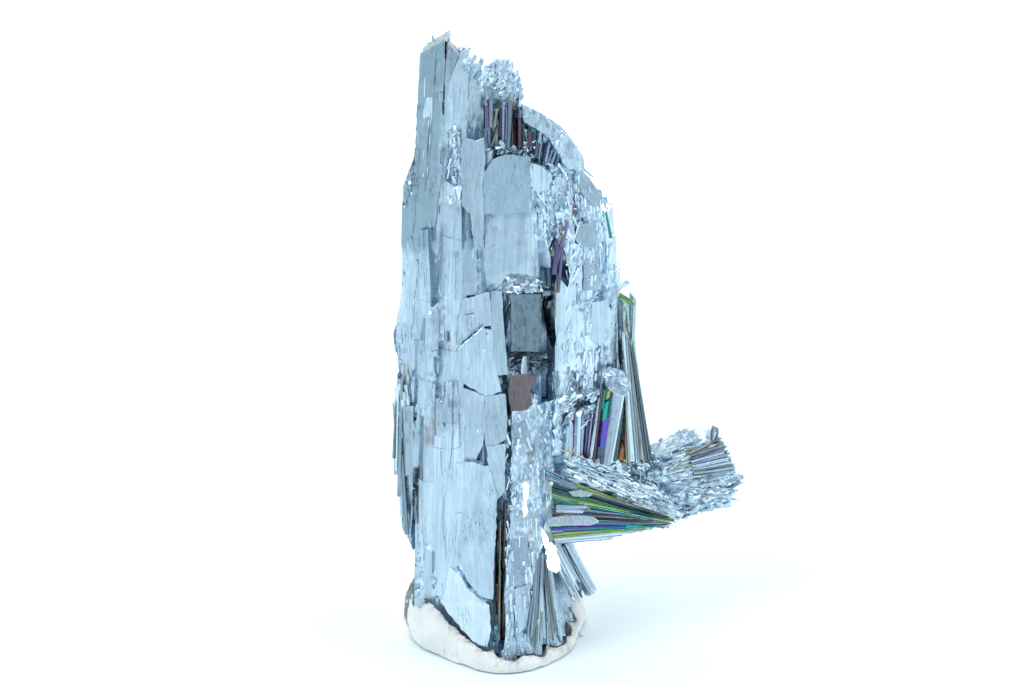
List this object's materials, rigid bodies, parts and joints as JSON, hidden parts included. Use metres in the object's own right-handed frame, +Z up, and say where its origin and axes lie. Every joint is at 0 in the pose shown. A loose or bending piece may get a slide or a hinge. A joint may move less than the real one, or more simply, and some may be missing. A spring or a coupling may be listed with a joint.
{
  "type": "stibnite specimen",
  "caption": "Upright cluster of striated grey metallic crystal blades with a side spray of iridescent needles, standing in a pressed lump of white putty",
  "frame": {"origin": "on the flat underside of the putty, below the middle of the crystal column", "axes": "+Z up along the crystals, +X to the right towards the side spray, +Y to the back"},
  "size_m": [0.056, 0.0321, 0.0983],
  "materials": {
    "stibnite": "steel grey metallic crystal faces, finely striated lengthwise, stepped where broken, with iridescent tarnish on the needles",
    "putty": "matt cream-white kneaded putty with grey smears near the crystals"
  },
  "bodies": {
    "root": {"stibnite_cluster": "stibnite", "putty_base": "putty"}
  },
  "joints": []
}
